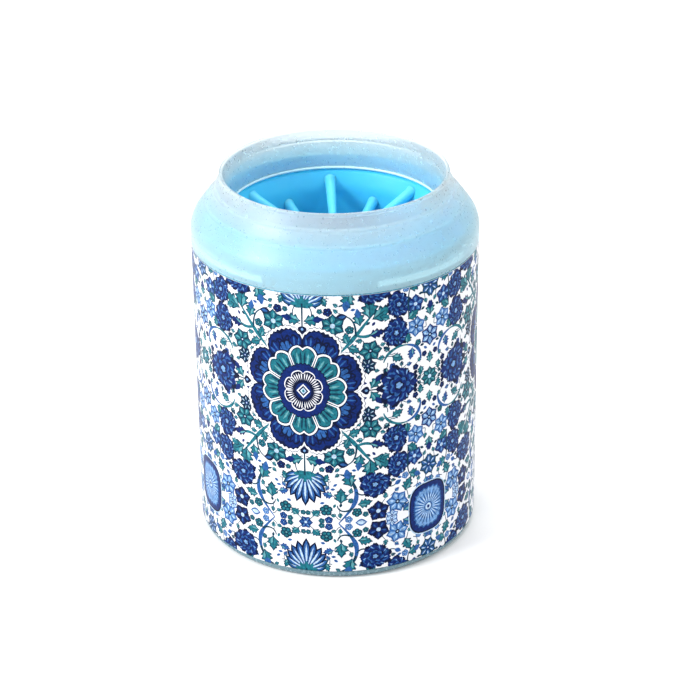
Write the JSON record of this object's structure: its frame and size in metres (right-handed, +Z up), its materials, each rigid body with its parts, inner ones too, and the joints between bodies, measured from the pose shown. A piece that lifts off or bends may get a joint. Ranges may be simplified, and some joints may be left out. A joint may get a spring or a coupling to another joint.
{
  "type": "paw washer cup",
  "caption": "Hand-held paw washing cup with a printed film sleeve, a silicone brush insert and a frosted bayonet collar.",
  "frame": {"origin": "centre of the flat face that the cup stands on", "axes": "+Z up along the cup's axis, -Y towards the front, +X to the right seen from the front"},
  "size_m": [0.1048, 0.1048, 0.14],
  "materials": {
    "cup_plastic": "smooth translucent blue-grey",
    "printed_film": "white film with a blue and teal floral print",
    "silicone": "soft satin bright blue",
    "frosted_plastic": "frosted, milky and translucent"
  },
  "bodies": {
    "cup": {"cup_body": "cup_plastic", "printed_wrap": "printed_film"},
    "insert": {"brush_sleeve": "silicone", "brush_bristles": "silicone"},
    "collar": {"collar": "frosted_plastic"}
  },
  "joints": [
    {"name": "insert_lift", "type": "slide", "parent": "cup", "child": "insert", "axis": [0, 0, 1], "range_m": [0, 0.125]},
    {"name": "collar_twist", "type": "hinge", "parent": "insert", "child": "collar", "pos_m": [0, 0, 0.12], "axis": [0, 0, 1], "range_deg": [-42, 0]}
  ]
}
